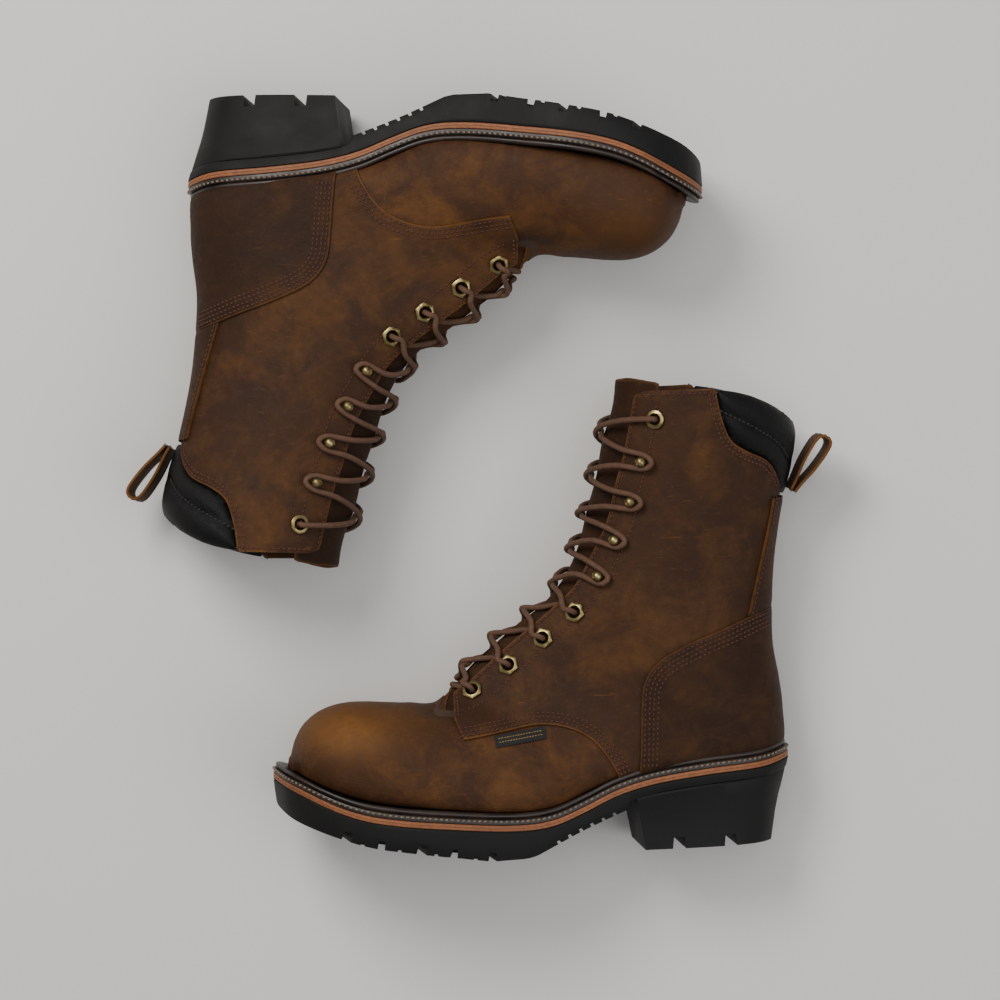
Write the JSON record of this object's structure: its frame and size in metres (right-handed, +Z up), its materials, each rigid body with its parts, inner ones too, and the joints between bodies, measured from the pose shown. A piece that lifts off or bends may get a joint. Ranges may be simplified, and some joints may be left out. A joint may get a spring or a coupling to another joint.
{
  "type": "pair of lace-up logger boots",
  "caption": "Pair of brown leather lace-up work boots with tall heels, lugged soles, hooks and eyelets, padded collars and pull loops, lying on their sides.",
  "frame": {"origin": "on the floor, under the centre of the pair's bounding box", "axes": "+Z up from the floor on which the boots lie; +Y along the shafts' length, from the left boot's sole to the right boot's; +X across"},
  "size_m": [0.4326, 0.4652, 0.1129],
  "materials": {
    "rubber": "charcoal, matt",
    "edge_leather": "tan cut edge",
    "welt_leather": "dark, waxed",
    "steel": "plain",
    "board": "pressed fibre",
    "foam": "soft",
    "oiled_leather": "oiled, dark brown",
    "lining_cloth": "woven",
    "edge_leather_brown": "oiled, brown",
    "black_leather": "soft, padded",
    "lace_cord": "round braid",
    "black_cloth": "woven",
    "antique_brass": "aged"
  },
  "bodies": {
    "root": {"left_backstay": "edge_leather_brown", "left_collar_pad": "black_leather", "left_counter_cover": "oiled_leather", "left_footbed": "foam", "left_heel_block": "rubber", "left_heel_stiffener": "board", "left_inner_eyelet_row": "antique_brass", "left_inner_hook_row": "antique_brass", "left_inner_top_eyelet": "antique_brass", "left_insole_board": "board", "left_lace": "lace_cord", "left_lining": "lining_cloth", "left_midsole": "edge_leather", "left_outer_eyelet_row": "antique_brass", "left_outer_hook_row": "antique_brass", "left_outer_top_eyelet": "antique_brass", "left_outsole": "rubber", "left_padding_inner": "foam", "left_padding_outer": "foam", "left_quarter_inner": "oiled_leather", "left_quarter_outer": "oiled_leather", "left_shank": "steel", "left_toe_cap": "steel", "left_vamp": "oiled_leather", "left_welt": "welt_leather", "right_backstay": "edge_leather_brown", "right_collar_pad": "black_leather", "right_counter_cover": "oiled_leather", "right_footbed": "foam", "right_heel_block": "rubber", "right_heel_stiffener": "board", "right_inner_eyelet_row": "antique_brass", "right_inner_hook_row": "antique_brass", "right_inner_top_eyelet": "antique_brass", "right_insole_board": "board", "right_lace": "lace_cord", "right_lining": "lining_cloth", "right_midsole": "edge_leather", "right_outer_eyelet_row": "antique_brass", "right_outer_hook_row": "antique_brass", "right_outer_top_eyelet": "antique_brass", "right_outsole": "rubber", "right_padding_inner": "foam", "right_padding_outer": "foam", "right_quarter_inner": "oiled_leather", "right_quarter_outer": "oiled_leather", "right_shank": "steel", "right_toe_cap": "steel", "right_vamp": "oiled_leather", "right_welt": "welt_leather"},
    "left_tongue": {"left_tongue": "oiled_leather"},
    "left_pull_loop": {"left_pull_loop": "edge_leather_brown"},
    "left_label_tab": {"left_label_tab": "black_cloth"},
    "right_tongue": {"right_tongue": "oiled_leather"},
    "right_pull_loop": {"right_pull_loop": "edge_leather_brown"},
    "right_label_tab": {"right_label_tab": "black_cloth"}
  },
  "joints": [
    {"name": "left_tongue_hinge", "type": "hinge", "parent": "root", "child": "left_tongue", "pos_m": [-0.03682, -0.14177, 0.05661], "axis": [-0.1055, 0.0539, -0.993], "range_deg": [0, 10], "stiffness_Nm_per_rad": 0.2},
    {"name": "left_pull_loop_hinge", "type": "hinge", "parent": "root", "child": "left_pull_loop", "pos_m": [0.18898, -0.00937, 0.0398], "axis": [-0.1055, 0.0539, -0.993], "range_deg": [0, 65], "stiffness_Nm_per_rad": 0.01},
    {"name": "left_label_tab_hinge", "type": "hinge", "parent": "root", "child": "left_label_tab", "pos_m": [0.0247, -0.15408, 0.08355], "axis": [-0.955, -0.1674, 0.2447], "range_deg": [0, 75], "stiffness_Nm_per_rad": 0.0005},
    {"name": "right_tongue_hinge", "type": "hinge", "parent": "root", "child": "right_tongue", "pos_m": [0.04551, 0.13802, 0.0598], "axis": [0.1158, -0.0558, -0.9917], "range_deg": [0, 10], "stiffness_Nm_per_rad": 0.2},
    {"name": "right_pull_loop_hinge", "type": "hinge", "parent": "root", "child": "right_pull_loop", "pos_m": [-0.18722, 0.01878, 0.03935], "axis": [0.1158, -0.0558, -0.9917], "range_deg": [0, 65], "stiffness_Nm_per_rad": 0.01},
    {"name": "right_label_tab_hinge", "type": "hinge", "parent": "root", "child": "right_label_tab", "pos_m": [-0.00772, 0.14993, 0.01873], "axis": [-0.9946, -0.0949, 0.0417], "range_deg": [0, 75], "stiffness_Nm_per_rad": 0.0005}
  ]
}
